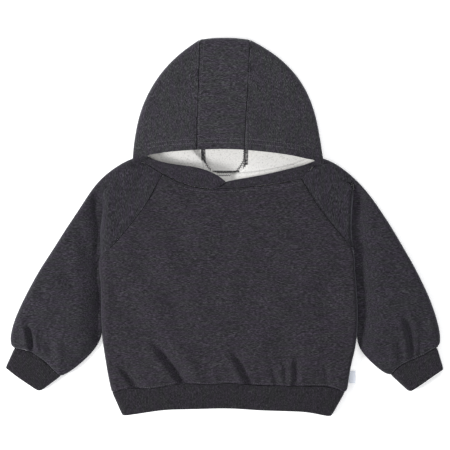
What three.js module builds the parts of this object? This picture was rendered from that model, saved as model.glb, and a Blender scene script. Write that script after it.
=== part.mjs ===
// A toddler's raglan hoodie in sweatshirt fleece, laid flat on its back.
// Millimetres. X runs to the wearer's left, Y up to the crown of the hood, Z up off the surface.
// The origin is under the middle of the garment, on the surface that it lies on.

import * as THREE from 'three';

// Cloth and seams
const fleece = 2;             // wall of the fleece panels
const rib = 3;                // wall of the doubled rib bands
const seamGap = 0.3;          // between two pieces that are sewn together
const labelSize = { out: 6.5, along: 15.6, thick: 1, top: -186, height: 7.4 };
const labelSettle = 0.2;      // where the side seam bows out between the label's ends

// Heights of the flat garment's layers
const bodyTop = 15.5;         // front of the body
const bodyCrown = 1.2;        // extra height in the middle of the front
const bandTop = 13;           // waistband
const cuffTop = 12;           // cuffs
const sideSeam = 7.6;         // side seam, half way up the rounded side
const sideRound = 7.6;        // radius of the body's side
const bandBlouse = 15;        // length over which the body swells above the waistband
const creaseFoot = 5.8;       // sleeve where it passes under the body's side fold
const tuck = 0.8;             // how far the sleeve's inner edge goes under that fold
const creaseFade = 14;        // length over which the sleeve's fold dies out near the shoulder
const sleeveRise = 30;        // width over which the sleeve swells away from the body
const bodyHalf = 165;         // half width over which the front is crowned
const crownEnd = { from: -20, to: 50 };           // y over which that crown dies out towards the neck
const seamDitch = 3;          // width beside the waistband seam that the folds don't reach
const foldStart = 0.6;        // share of a fold's length over which it deepens
const foldEnd = 4;            // length over which a fold ends
const centreShift = 0.5;      // moves the middle of the whole length to the origin

const colours = { fleece: 0x3a383e, rib: 0x323136, label: 0xf0f0ee };

// The body's side folds, from the waistband up into the sleeves: x of the right and left fold.
const sideFold = [
  { y: -214, right: -145.5, left: 155.5 },
  { y: -209.5, right: -147, left: 159 },
  { y: -197.5, right: -149.5, left: 160.5 },
  { y: -184.5, right: -152, left: 162.5 },
  { y: -164, right: -155, left: 167 },
  { y: -151, right: -157.5, left: 170.5 },
  { y: -128.5, right: -159.5, left: 172 },
  { y: -96, right: -160, left: 172 },
  { y: -57, right: -160.5, left: 168.5 },
  { y: -37.5, right: -161, left: 166.5 },
  { y: -18, right: -161, left: 164.5 },
  { y: -1.5, right: -160, left: 163.5 },
  { y: 17, right: -158, left: 164 },
  { y: 36.5, right: -156.5, left: 165.5 },
  { y: 54.5, right: -155, left: 167.5 },
];
const underarm = { right: -42, left: -27 };       // y where side seam and raglan seams meet
const creaseTop = { right: 40, left: 55 };        // y where the fold in the sleeve dies out

// Raglan seams from the underarm to the neck, front and back.
const frontRaglan = {
  right: [
    { x: -147, y: -28 }, { x: -136, y: -16 }, { x: -116, y: 8.5 },
    { x: -99, y: 31 }, { x: -88.5, y: 52.5 }, { x: -79.5, y: 68 },
  ],
  left: [
    { x: 154, y: -15.5 }, { x: 143, y: -2.5 }, { x: 126, y: 18 },
    { x: 111, y: 40.5 }, { x: 103, y: 55 }, { x: 98.5, y: 62.5 },
  ],
};
const backRaglan = {
  right: [
    { x: -147, y: -24 }, { x: -136, y: -9 }, { x: -118, y: 18 },
    { x: -102, y: 44 }, { x: -91, y: 63.5 }, { x: -80.5, y: 81.5 },
  ],
  left: [
    { x: 154, y: -10 }, { x: 143, y: 4 }, { x: 126, y: 27 },
    { x: 111, y: 49 }, { x: 100, y: 66 }, { x: 89.5, y: 81.5 },
  ],
};

// Seam lines across the body: neck at the front and back, waistband seam and hem.
const neckFront = [
  { x: -79.5, y: 68 }, { x: -67.5, y: 61.5 }, { x: -48.5, y: 54 }, { x: -23.5, y: 49 },
  { x: 4, y: 50 }, { x: 45.5, y: 52.5 }, { x: 78, y: 57.5 }, { x: 98.5, y: 62.5 },
];
const neckBack = [
  { x: -80.5, y: 81.5 }, { x: -65.5, y: 76.6 }, { x: -47, y: 72.8 }, { x: -27, y: 70.4 },
  { x: 27, y: 70.2 }, { x: 48, y: 72.6 }, { x: 68.5, y: 76.4 }, { x: 89.5, y: 81.5 },
];
const bandSeam = [
  { x: -145.5, y: -213 }, { x: -138, y: -211.5 }, { x: -127, y: -208 }, { x: -115.5, y: -207 },
  { x: -102, y: -208.5 }, { x: -76.5, y: -205.5 }, { x: -53.5, y: -201.5 }, { x: -19, y: -203.5 },
  { x: 5, y: -201 }, { x: 41.5, y: -204 }, { x: 106.5, y: -205 }, { x: 137, y: -206 },
  { x: 147.5, y: -210 }, { x: 155.5, y: -213 },
];
const bandHem = [
  { x: -132, y: -244 }, { x: -114, y: -241.5 }, { x: -78.5, y: -236.5 }, { x: -44, y: -235.5 },
  { x: 5, y: -234.5 }, { x: 47.5, y: -237 }, { x: 106.5, y: -239 }, { x: 123, y: -242.5 },
  { x: 138, y: -245 },
];

// Folds in the front above the waistband and gathers above the cuffs: a soft trough along each line.
const folds = [
  { x0: -90, y0: -155, x1: -47, y1: -201, width: 6, depth: 3 },
  { x0: 8, y0: -163, x1: 34, y1: -200, width: 6, depth: 2.4 },
  { x0: -135, y0: -184, x1: -114, y1: -204, width: 5, depth: 1.6 },
  { x0: 60, y0: -172, x1: 71, y1: -202, width: 4.5, depth: 1.4 },
  { x0: 90.5, y0: -170, x1: 91, y1: -200, width: 4.5, depth: 1.3 },
  { x0: -248, y0: -128, x1: -253, y1: -154, width: 3.5, depth: 2.4 },
  { x0: -243, y0: -134, x1: -248, y1: -158, width: 3.5, depth: 2 },
  { x0: 234, y0: -119, x1: 242, y1: -166, width: 4, depth: 3 },
  { x0: 251, y0: -144, x1: 249, y1: -164, width: 3.5, depth: 2 },
];

// Sleeves, a row for each section from the neck to the cuff seam: the first rows start from even
// places on the raglan seams, the others from f on the inner edge. o is on the outer fold, c the
// height at which the section crosses the side fold, step how much of that fold shows, top the
// height of the sleeve and edge the radius of its inner edge.
const sleeveRows = {
  right: [
    { cy: 80, ox: -110, oy: 91, step: 0, top: 15.4 },
    { cy: 68, ox: -126, oy: 87, step: 0, top: 15 },
    { cy: 55, ox: -150, oy: 71.5, step: 0, top: 14.6 },
    { cy: 42, ox: -165.5, oy: 57, step: 0.2, top: 14.6 },
    { cy: 28, ox: -178, oy: 38.5, step: 1, top: 15 },
    { cy: 9, ox: -190, oy: 19, step: 1, top: 15.6 },
    { cy: -14, ox: -202, oy: 2, step: 1, top: 16.4 },
    { cy: -37, ox: -214.5, oy: -18, step: 1, top: 17 },
    { fx: -160, fy: -54, cy: -54, ox: -225, oy: -34.5, step: 1, top: 17.4, edge: 3 },
    { fx: -160, fy: -72, cy: -72, ox: -237, oy: -52.5, step: 1, top: 18, edge: 3 },
    { fx: -160, fy: -90, cy: -90, ox: -248, oy: -72, step: 1, top: 18.4, edge: 3 },
    { fx: -160, fy: -108, cy: -108, ox: -258, oy: -91, step: 1, top: 18.6, edge: 3 },
    { fx: -160, fy: -125, cy: -125, ox: -266, oy: -108, step: 1, top: 18.6, edge: 3 },
    { fx: -160, fy: -137.5, cy: -138, ox: -271.3, oy: -121, step: 1, top: 18.4, edge: 3.2 },
    { fx: -161.5, fy: -148.5, cy: -149, ox: -274.5, oy: -132, step: 1, top: 18.2, edge: 3.8 },
    { fx: -169, fy: -160, cy: -160, ox: -276.2, oy: -141, step: 1, top: 18, edge: 4.6 },
    { fx: -180, fy: -171.5, cy: -171, ox: -276.2, oy: -148, step: 1, top: 17.4, edge: 5.4 },
    { fx: -193.5, fy: -183, cy: -183, ox: -275, oy: -152.6, step: 1, top: 16.2, edge: 6 },
    { fx: -204.5, fy: -190.2, cy: -190, ox: -273, oy: -154.8, step: 1, top: 14, edge: 6 },
    { fx: -211, fy: -192.6, cy: -192, ox: -271.5, oy: -156.2, step: 1, top: 12, edge: 6 },
  ],
  left: [
    { cy: 75, ox: 120, oy: 90.5, step: 0, top: 15.4 },
    { cy: 66, ox: 135, oy: 87, step: 0, top: 15 },
    { cy: 58, ox: 153.5, oy: 75.5, step: 0, top: 14.6 },
    { cy: 46, ox: 170, oy: 61, step: 0.5, top: 14.6 },
    { cy: 33, ox: 184.5, oy: 46, step: 1, top: 15 },
    { cy: 16, ox: 197.5, oy: 27, step: 1, top: 15.6 },
    { cy: -2, ox: 210, oy: 8.5, step: 1, top: 16.4 },
    { cy: -22, ox: 222.5, oy: -12, step: 1, top: 17 },
    { fx: 166, fy: -40, cy: -40, ox: 232.5, oy: -29.5, step: 1, top: 17.4, edge: 3 },
    { fx: 168, fy: -57, cy: -57, ox: 244.5, oy: -50, step: 1, top: 18, edge: 3 },
    { fx: 170, fy: -75, cy: -75, ox: 254, oy: -69, step: 1, top: 18.4, edge: 3 },
    { fx: 171.5, fy: -93, cy: -93, ox: 263, oy: -88, step: 1, top: 18.6, edge: 3 },
    { fx: 172, fy: -112, cy: -112, ox: 270.3, oy: -107, step: 1, top: 18.6, edge: 3 },
    { fx: 172, fy: -127.5, cy: -128, ox: 275, oy: -123, step: 1, top: 18.4, edge: 3 },
    { fx: 171.5, fy: -143, cy: -143, ox: 277.8, oy: -135.5, step: 1, top: 18.2, edge: 3.4 },
    { fx: 174.5, fy: -158.5, cy: -158, ox: 278.3, oy: -143.5, step: 1, top: 18, edge: 4.4 },
    { fx: 184.5, fy: -170, cy: -170, ox: 278.2, oy: -148.6, step: 1, top: 17.4, edge: 5.4 },
    { fx: 196.5, fy: -181.5, cy: -181, ox: 277.4, oy: -151.5, step: 1, top: 16.2, edge: 6 },
    { fx: 207.5, fy: -189.6, cy: -189, ox: 276.2, oy: -153.4, step: 1, top: 14, edge: 6 },
    { fx: 214.5, fy: -191, cy: -191, ox: 274.5, oy: -154.6, step: 1, top: 12, edge: 6 },
  ],
};
const cuffLines = {
  right: {
    seam: [
      { x: -211, y: -192.6 }, { x: -218.5, y: -186.5 }, { x: -231.5, y: -173.5 },
      { x: -247, y: -163 }, { x: -254, y: -158.8 }, { x: -271.5, y: -156.2 },
    ],
    end: [
      { x: -238, y: -212.5 }, { x: -253.5, y: -203.5 }, { x: -269, y: -193 }, { x: -283.5, y: -182.5 },
    ],
  },
  left: {
    seam: [
      { x: 214.5, y: -191 }, { x: 219.5, y: -185 }, { x: 227, y: -178.5 },
      { x: 237.5, y: -173 }, { x: 255.5, y: -165.5 }, { x: 274.5, y: -154.6 },
    ],
    end: [
      { x: 238.5, y: -213 }, { x: 254, y: -204 }, { x: 269, y: -193.5 }, { x: 283.5, y: -184.5 },
    ],
  },
};

// Hood side panels, a row for each line across the panel from the centre front, round the face
// opening, to the centre strip: b on the brim, s where the panel turns under, n on the neck seam,
// round the radius of that turn, top and under the heights of the layers beside it.
const hoodRows = {
  right: [
    { bx: 2, by: 58, bz: 21.2, sx: -3, sy: 53.5, sz: 20.2, nx: -9.5, ny: 49.2, nz: 18.8, round: 2 },
    { bx: -14.5, by: 70, bz: 20.6, sx: -19, sy: 59, sz: 18.6, nx: -23.5, ny: 49, nz: 17, round: 3 },
    { bx: -36.5, by: 77, bz: 20, sx: -39.5, sy: 62.5, sz: 17.6, nx: -43, ny: 52.2, nz: 15.8, round: 3 },
    { bx: -58.5, by: 79.5, bz: 19, sx: -61, sy: 67, sz: 17, nx: -63.5, ny: 59.8, nz: 15.5, round: 3 },
    { bx: -76.5, by: 82, bz: 18.4, sx: -78.5, sy: 74, sz: 16.8, nx: -79.5, ny: 68, nz: 15.5, round: 2.5 },
    { bx: -90, by: 86, bz: 17.8, sx: -93, sy: 79.5, sz: 16.6, nx: -93.5, ny: 76.5, nz: 15.2, round: 1.5 },
    { bx: -98, by: 89.6, bz: 17.6, sx: -105, sy: 84.8, sz: 16.6, nx: -104, ny: 83.6, nz: 14.4, round: 1 },
    { bx: -98.9, by: 90.2, bz: 20.6, sx: -117.4, sy: 79.4, sz: 20.2, nx: -107.8, ny: 87, nz: 12.6,
      round: 2, top: 21, under: 18 },
    { bx: -98, by: 91.6, bz: 24, sx: -118, sy: 85, sz: 20, nx: -109.6, ny: 89.6, nz: 10.2,
      round: 3.5, top: 23.6, under: 16.2 },
    { bx: -91.5, by: 93, bz: 25.6, sx: -117.6, sy: 93, sz: 17.4, nx: -110, ny: 91, nz: 7.6,
      round: 5, top: 22.8, under: 12 },
    { bx: -86, by: 94, bz: 26.6, sx: -117, sy: 105, sz: 13.8, nx: -108, ny: 92, nz: 4.2,
      round: 6.5, top: 21.8, under: 6 },
    { bx: -79, by: 95, bz: 27.8, sx: -114.8, sy: 121, sz: 11.2, nx: -102, ny: 90.3, nz: 1.4,
      round: 8, top: 21, under: 1.2 },
    { bx: -72, by: 95.8, bz: 28.8, sx: -109.5, sy: 148, sz: 9.6, nx: -92.5, ny: 86.5, nz: 0,
      round: 9, top: 20, under: 0 },
    { bx: -63.5, by: 96.5, bz: 29.6, sx: -97, sy: 177, sz: 9.2, nx: -80.5, ny: 81.5, nz: 0,
      round: 9, top: 19.4, under: 0 },
    { bx: -54.5, by: 97, bz: 30.4, sx: -79.5, sy: 203, sz: 9.2, nx: -65.5, ny: 76.6, nz: 0,
      round: 9, top: 19, under: 0 },
    { bx: -45.5, by: 97.5, bz: 31, sx: -56.5, sy: 225.5, sz: 9.2, nx: -47, ny: 72.8, nz: 0,
      round: 9, top: 18.8, under: 0 },
    { bx: -36, by: 98, bz: 31.4, sx: -32, sy: 242, sz: 9.2, nx: -27, ny: 70.4, nz: 0,
      round: 9, top: 18.6, under: 0 },
  ],
  left: [
    { bx: -8, by: 54.5, bz: 16.4, sx: -10, sy: 51.6, sz: 15.8, nx: -12.5, ny: 49.2, nz: 15.2, round: 1.5 },
    { bx: 3, by: 58.4, bz: 17, sx: 1.5, sy: 54.6, sz: 16.2, nx: 0, ny: 49.8, nz: 15.4, round: 1.5 },
    { bx: 22, by: 61.5, bz: 18, sx: 22, sy: 56, sz: 16.6, nx: 23.5, ny: 51.2, nz: 15.5, round: 2 },
    { bx: 48, by: 66, bz: 18.4, sx: 50, sy: 59, sz: 16.8, nx: 52, ny: 53.3, nz: 15.5, round: 2 },
    { bx: 71.5, by: 71.5, bz: 18.4, sx: 75, sy: 64, sz: 16.8, nx: 79, ny: 57.7, nz: 15.5, round: 2.5 },
    { bx: 91, by: 76.6, bz: 18, sx: 96, sy: 68.5, sz: 16.8, nx: 98.5, ny: 62.5, nz: 15.5, round: 2 },
    { bx: 105, by: 80.2, bz: 17.8, sx: 110, sy: 75.4, sz: 16.6, nx: 108.5, ny: 72, nz: 15.2, round: 1.5 },
    { bx: 114.5, by: 83.2, bz: 17.6, sx: 117, sy: 81, sz: 16.6, nx: 115, ny: 79.4, nz: 14.2, round: 1 },
    { bx: 115.6, by: 84, bz: 20.6, sx: 126.4, sy: 78.6, sz: 20.2, nx: 118, ny: 84, nz: 12.4,
      round: 2, top: 21, under: 18 },
    { bx: 114.6, by: 85.4, bz: 24, sx: 127, sy: 84, sz: 20, nx: 119.4, ny: 87.6, nz: 10.2,
      round: 3.5, top: 23.6, under: 16.2 },
    { bx: 108, by: 87, bz: 25.6, sx: 126, sy: 92, sz: 17.4, nx: 120, ny: 90.5, nz: 7.6,
      round: 5, top: 22.8, under: 12 },
    { bx: 100.5, by: 88.4, bz: 26.6, sx: 124.6, sy: 104, sz: 13.8, nx: 118.6, ny: 92, nz: 4.2,
      round: 6.5, top: 21.8, under: 6 },
    { bx: 93, by: 90, bz: 27.8, sx: 122, sy: 121, sz: 11.2, nx: 112, ny: 90.3, nz: 1.4,
      round: 8, top: 21, under: 1.2 },
    { bx: 84, by: 91.6, bz: 28.8, sx: 117, sy: 148, sz: 9.6, nx: 101.5, ny: 86.5, nz: 0,
      round: 9, top: 20, under: 0 },
    { bx: 72, by: 93.2, bz: 29.6, sx: 105, sy: 179, sz: 9.2, nx: 89.5, ny: 81.5, nz: 0,
      round: 9, top: 19.4, under: 0 },
    { bx: 60, by: 94.8, bz: 30.4, sx: 86, sy: 205, sz: 9.2, nx: 68.5, ny: 76.4, nz: 0,
      round: 9, top: 19, under: 0 },
    { bx: 43, by: 96.4, bz: 31, sx: 60, sy: 227, sz: 9.2, nx: 48, ny: 72.6, nz: 0,
      round: 9, top: 18.8, under: 0 },
    { bx: 25, by: 98, bz: 31.4, sx: 33, sy: 241.6, sz: 9.2, nx: 27, ny: 70.2, nz: 0,
      round: 9, top: 18.6, under: 0 },
  ],
};
const crown = [{ x: -32, y: 242 }, { x: -14, y: 243.8 }, { x: 14, y: 243.8 }, { x: 33, y: 241.6 }];
const brimMiddle = [{ x: -36, y: 98 }, { x: -12, y: 98.8 }, { x: 8, y: 98.8 }, { x: 25, y: 98 }];
const brimTop = 31.8;         // height of the brim at its middle

const { lerp, clamp, smoothstep, degToRad } = THREE.MathUtils;

// A quarter-round profile: 0 at the edge, 1 from the radius inwards.
const rounded = (ratio) => Math.sqrt(1 - (1 - clamp(ratio, 0, 1)) ** 2);

// One column of a table read smoothly between its rows, at a place counted in rows.
function column(table, name, place) {
  const last = table.length - 1;
  const row = clamp(Math.floor(place), 0, last - 1);
  const t = clamp(place - row, 0, 1);
  const read = (index) => table[clamp(index, 0, last)][name];
  const [a, b, c, d] = [read(row - 1), read(row), read(row + 1), read(row + 2)];
  const slopeB = (c - a) / 2;
  const slopeC = (d - b) / 2;
  const t2 = t * t;
  const t3 = t2 * t;
  return (2 * t3 - 3 * t2 + 1) * b + (t3 - 2 * t2 + t) * slopeB
    + (3 * t2 - 2 * t3) * c + (t3 - t2) * slopeC;
}

// The place in a table, counted in rows, where a rising column reaches a value.
function placeOf(table, name, value) {
  let row = 0;
  while (row < table.length - 2 && table[row + 1][name] < value) row += 1;
  const from = table[row][name];
  return row + clamp((value - from) / (table[row + 1][name] - from), 0, 1);
}

const yAt = (line, x) => column(line, 'y', placeOf(line, 'x', x));
const foldAt = (side, y) => column(sideFold, side, placeOf(sideFold, 'y', y));

// Depth of the folds at a point of the front or of a sleeve.
function foldDepth(x, y) {
  let depth = 0;
  for (const fold of folds) {
    const along = new THREE.Vector2(fold.x1 - fold.x0, fold.y1 - fold.y0);
    const length = along.length();
    along.divideScalar(length);
    const place = (x - fold.x0) * along.x + (y - fold.y0) * along.y;
    const across = (x - fold.x0) * along.y - (y - fold.y0) * along.x;
    const fade = smoothstep(place, 0, length * foldStart) * (1 - smoothstep(place, length, length + foldEnd));
    depth += fold.depth * fade * Math.exp(-((across / fold.width) ** 2));
  }
  return depth;
}

// Height of the side seam at y, and of the upper face of the front and of the sleeve beside it.
const seamHeight = (y) => lerp(bandTop / 2, sideSeam, smoothstep(y - sideFold[0].y, 0, bandBlouse));
function upperHeight(x, y) {
  const bandY = yAt(bandSeam, clamp(x, bandSeam[0].x, bandSeam.at(-1).x));
  const beforeNeck = 1 - smoothstep(y, crownEnd.from, crownEnd.to);
  const crowned = bodyCrown * (1 - (x / bodyHalf) ** 2) * beforeNeck;
  const top = lerp(bandTop, bodyTop + crowned, smoothstep(y - bandY, 0, bandBlouse));
  const side = x < 0 ? 'right' : 'left';
  const inside = Math.abs(foldAt(side, y)) - Math.abs(x);
  const fade = smoothstep(y, creaseTop[side] - creaseFade, creaseTop[side]);
  const low = lerp(seamHeight(y), top, fade);
  const seamSwell = smoothstep(y - bandY, 0, seamDitch) * smoothstep(inside, 0, sideRound);
  return low + (top - low) * rounded(inside / sideRound) - foldDepth(x, y) * seamSwell;
}

// The direction of a smooth line through three points, at the first or the middle one.
function tangent(first, second, third, atFirst) {
  const near = second.clone().sub(first);
  const far = third.clone().sub(second);
  const [a, b] = [near.length(), far.length()];
  near.divideScalar(a);
  far.divideScalar(b);
  const turn = far.clone().sub(near).divideScalar(a + b);
  return near.addScaledVector(turn, atFirst ? -a : a);
}

// Normals of a grid of points, from the lines through each point.
function normalsOf(grid, closed) {
  const slope = (read, index, count, loop) => {
    const last = count - 1;
    if (!loop && index === 0) return tangent(read(0), read(1), read(2), true);
    if (!loop && index === last) return tangent(read(last), read(last - 1), read(last - 2), true).negate();
    return tangent(read((index + last) % count), read(index), read((index + 1) % count), false);
  };
  return grid.map((line, i) => line.map((_, j) => {
    const along = slope((k) => grid[k][j], i, grid.length, false);
    const across = slope((k) => line[k], j, line.length, closed);
    return along.cross(across).normalize();
  }));
}

// Two sewn pieces meet squarely: on a seam, the wall's end face stands across the seam's axis.
// An axis is a fixed direction, or 'plan' for the level direction square to the seam line.
function squareEnds(grid, normals, seams) {
  const last = grid.length - 1;
  const end = grid[0].length - 1;
  const square = (i, j, axis, before, after) => {
    if (!axis) return;
    const line = after.clone().sub(before);
    const direction = axis === 'plan' ? new THREE.Vector3(line.y, -line.x, 0).normalize() : axis;
    normals[i][j].addScaledVector(direction, -normals[i][j].dot(direction)).normalize();
  };
  grid.forEach((line, i) => {
    const [before, after] = [grid[Math.max(i - 1, 0)], grid[Math.min(i + 1, last)]];
    square(i, 0, seams.start?.(i), before[0], after[0]);
    square(i, end, seams.end?.(i), before[end], after[end]);
  });
  for (let j = 0; j <= end; j += 1) {
    square(0, j, seams.first, grid[0][Math.max(j - 1, 0)], grid[0][Math.min(j + 1, end)]);
    square(last, j, seams.last, grid[last][Math.max(j - 1, 0)], grid[last][Math.min(j + 1, end)]);
  }
}

// A grid that runs the other way round, with its normals pointing in, is reversed.
function pointsInwards(grid, closed) {
  const middle = new THREE.Vector3();
  for (const point of grid.flat()) middle.add(point);
  middle.divideScalar(grid.flat().length);
  let lean = 0;
  normalsOf(grid, closed).forEach((line, i) => line.forEach((normal, j) => {
    lean += grid[i][j].clone().sub(middle).dot(normal);
  }));
  return lean < 0;
}

// A cloth wall: the outer face is a grid of points, the inner face lies one thickness inside it.
// With closed set, the columns run round a tube. seams gives the axes of its sewn edges.
function wall(name, given, thickness, colour, { closed = false, seams = {} } = {}) {
  const reversed = pointsInwards(given, closed);
  const grid = reversed ? given.map((line) => [...line].reverse()) : given;
  const normals = normalsOf(grid, closed);
  squareEnds(grid, normals, reversed ? { ...seams, start: seams.end, end: seams.start } : seams);
  const rows = grid.length;
  const cols = grid[0].length;
  const points = grid.flat().map((point) => point.clone());
  grid.forEach((line, i) => line.forEach((point, j) => {
    points.push(point.clone().addScaledVector(normals[i][j], -thickness));
  }));
  const index = [];
  const outer = (i, j) => i * cols + (j % cols);
  const inner = (i, j) => rows * cols + outer(i, j);
  const quad = (a, b, c, d) => index.push(a, b, c, a, c, d);
  const lastCol = closed ? cols : cols - 1;
  for (let i = 0; i < rows - 1; i += 1) {
    for (let j = 0; j < lastCol; j += 1) {
      quad(outer(i, j), outer(i + 1, j), outer(i + 1, j + 1), outer(i, j + 1));
      quad(inner(i, j), inner(i, j + 1), inner(i + 1, j + 1), inner(i + 1, j));
    }
    if (!closed) {
      quad(outer(i, 0), inner(i, 0), inner(i + 1, 0), outer(i + 1, 0));
      quad(outer(i, lastCol), outer(i + 1, lastCol), inner(i + 1, lastCol), inner(i, lastCol));
    }
  }
  for (let j = 0; j < lastCol; j += 1) {
    quad(outer(0, j), outer(0, j + 1), inner(0, j + 1), inner(0, j));
    quad(outer(rows - 1, j), inner(rows - 1, j), inner(rows - 1, j + 1), outer(rows - 1, j + 1));
  }
  const geometry = new THREE.BufferGeometry().setFromPoints(points);
  geometry.setIndex(index);
  geometry.computeVertexNormals();
  const material = new THREE.MeshStandardMaterial({ color: colour, roughness: 0.95, metalness: 0 });
  const mesh = new THREE.Mesh(geometry, material);
  mesh.name = name;
  return mesh;
}

// Each piece keeps half of the seam gap on every sewn edge of its grid.
function pullBack(given, { firstRow = true, lastRow = true, columns = true } = {}) {
  const grid = given.map((line) => line.map((point) => point.clone()));
  const half = seamGap / 2;
  const pull = (point, towards) => {
    const step = towards.clone().sub(point);
    point.addScaledVector(step, half / step.length());
  };
  const last = grid.length - 1;
  const end = grid[0].length - 1;
  if (firstRow) grid[0].forEach((point, j) => pull(point, grid[1][j]));
  if (lastRow) grid[last].forEach((point, j) => pull(point, grid[last - 1][j]));
  if (columns) {
    grid.forEach((line) => {
      pull(line[0], line[1]);
      pull(line[end], line[end - 1]);
    });
  }
  return grid;
}

// Front and back body panels: rows from the waistband to the neck between the two side edges.
const bodySideRows = [0, 0.016, 0.04, 0.07, 0.11, 0.16, 0.23, 0.32, 0.44, 0.58, 0.73, 0.87];
const raglanStops = [0, 0.04, 0.11, 0.21, 0.36, 0.52, 0.68, 0.84, 1];  // from the underarm to the neck
const edgeColumns = [0, 0.002, 0.006, 0.013, 0.024, 0.05];
const mirrored = (shares) => shares.map((u) => 1 - u).reverse();
const frontColumns = [...edgeColumns, ...range(0.09, 0.91, 18), ...mirrored(edgeColumns)];
const backColumns = [...edgeColumns, ...range(0.1, 0.9, 8), ...mirrored(edgeColumns)];
const hemReach = 0.4;                             // share of the height that the waistband seam curves
const neckReach = 0.3;                            // share at which the curve of the neck seam begins

function range(from, to, count) {
  return Array.from({ length: count }, (_, k) => lerp(from, to, k / (count - 1)));
}

// A point on a raglan seam, from 0 at the underarm to 1 at the neck.
function raglanAt(seams, side, share) {
  const seam = [{ x: foldAt(side, underarm[side]), y: underarm[side] }, ...seams[side]];
  const place = share * (seam.length - 1);
  return new THREE.Vector2(column(seam, 'x', place), column(seam, 'y', place));
}

function bodyEdge(side, raglan) {
  const edge = bodySideRows.map((share) => {
    const y = lerp(bandSeam[0].y, underarm[side], share);
    return new THREE.Vector2(foldAt(side, y), y);
  });
  return [...edge, ...raglanStops.map((share) => raglanAt(raglan, side, share))];
}

function bodyGrid(raglan, neck, columns, height) {
  const right = bodyEdge('right', raglan);
  const left = bodyEdge('left', raglan);
  const last = right.length - 1;
  const levels = right.map((from, i) => (from.y + left[i].y) / 2);
  const bow = (line, row, u) => {
    const x = lerp(right[row].x, left[row].x, u);
    return yAt(line, x) - lerp(right[row].y, left[row].y, u);
  };
  return right.map((from, i) => {
    const to = left[i];
    const rise = (levels[i] - levels[0]) / (levels[last] - levels[0]);
    const hemShare = 1 - smoothstep(rise, 0, hemReach);
    const neckShare = smoothstep(rise, neckReach, 1);
    return columns.map((u) => {
      const x = lerp(from.x, to.x, u);
      const bowed = bow(bandSeam, 0, u) * hemShare + bow(neck, last, u) * neckShare;
      const y = lerp(from.y, to.y, u) + bowed;
      return new THREE.Vector3(x, y, height(x, y));
    });
  });
}

// The neck edge of a body panel has a point at each end of the hood's lines.
function meetHood(grid, ends) {
  const edge = grid.at(-1);
  const stops = [0];
  for (const end of ends) {
    const gaps = edge.slice(1, -1).map((point) => Math.abs(point.x - end.x));
    const nearest = 1 + gaps.indexOf(Math.min(...gaps));
    edge[nearest].x = end.x;
    edge[nearest].y = end.y;
    stops.push(nearest);
  }
  stops.push(edge.length - 1);
  stops.slice(1).forEach((to, n) => {
    const from = stops[n];
    for (let k = from + 1; k < to; k += 1) {
      const share = (k - from) / (to - from);
      edge[k].x = lerp(edge[from].x, edge[to].x, share);
      edge[k].y = lerp(edge[from].y, edge[to].y, share);
    }
  });
}

// The back lies on the surface, its sides rounding up to the side seams.
const sideEnd = 12;                               // length over which that rounding ends at the underarm
function lowerHeight(x, y) {
  const side = x < 0 ? 'right' : 'left';
  const inside = Math.abs(foldAt(side, y)) - Math.abs(x);
  const beside = 1 - smoothstep(y - underarm[side], 0, sideEnd);
  return seamHeight(y) * (1 - rounded(inside / sideRound)) * beside;
}

// Sleeves. Shares of the way across each part of a section.
const raglanShares = [0, 0.5];
const lipShares = [1, 0.5, 0.16, 0];              // of the fold's radius, counted back from the fold
const innerAngles = [0, 20, 42, 62, 80, 90];
const outwardShares = [0.02, 0.07, 0.14, 0.23, 0.34, 0.47, 0.6, 0.74, 0.88, 1];
const roundAngles = [30, 54, 74, 90];
const underAngles = [74, 54, 30, 0];
const underShares = [0.78, 0.5, 0.22, 0.06];
const heelStops = [4, 2.6, 1.2, 0];               // distances from the back raglan seam
const heelAngles = [90, 52, 24, 0];
const outerRound = 7.5;                           // radius of the outer fold
const foldClear = 0.4;                            // from the side fold to the sleeve's top beside it
const lipReach = 0.75;                            // most of the raglan part that rounds down to the fold
const underarmEase = { at: 1.3, below: 0.5 };      // clearance at the underarm point and below it
const underarmLip = 2.6;                          // width of the sleeve's slope at the underarm
const seamRows = 5;                               // rows over which the curve of the cuff seam fades in
const freeRise = 12;                              // swelling width beside the free inner edge
const riseBack = 0.2;                             // share of a swelling width that lies inside its edge
const tuckedWithin = 3;                           // an inner edge this close to the side fold goes under it
const tuckLength = { from: 12, to: 40 };          // below the underarm, where it starts to and fully does

// The hood's lines that end on a sleeve: from the front raglan seam to the back one.
function sleeveNeck(side) {
  const rows = hoodRows[side];
  const indexOf = (point) => rows.findIndex((row) => row.nx === point.x && row.ny === point.y);
  const { ox, oy } = sleeveRows[side][0];
  return { rows, first: indexOf(frontRaglan[side].at(-1)), outer: indexOf({ x: ox, y: oy }),
    last: indexOf(backRaglan[side].at(-1)) };
}

// The part of a section from the front seam to the side fold, or round the sleeve's inner edge.
function innerPart(row, front, start, outer) {
  const line = [];
  if (row.edge) {
    for (const angle of innerAngles) {
      const a = degToRad(angle);
      const slit = angle === 0 ? seamGap / 2 : 0;
      const at = front.clone().lerp(outer, (row.edge * (1 - Math.cos(a))) / front.distanceTo(outer));
      line.push(new THREE.Vector3(at.x, at.y, row.edge * (1 + Math.sin(a)) + slit));
    }
    return line;
  }
  const reach = front.distanceTo(start);
  if (row.underarm) {
    return range(0, 1, innerAngles.length).map((share) => {
      const at = front.clone().lerp(start, share);
      return new THREE.Vector3(at.x, at.y, lerp(sideSeam, creaseFoot, share));
    });
  }
  const lip = Math.min(sideRound, reach * lipReach);
  const stops = [...raglanShares.map((f) => f * (reach - lip)), ...lipShares.map((f) => reach - f * lip)];
  for (const stop of stops) {
    const at = front.clone().lerp(start, stop / reach);
    line.push(new THREE.Vector3(at.x, at.y, upperHeight(at.x, at.y)));
  }
  return line;
}

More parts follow.
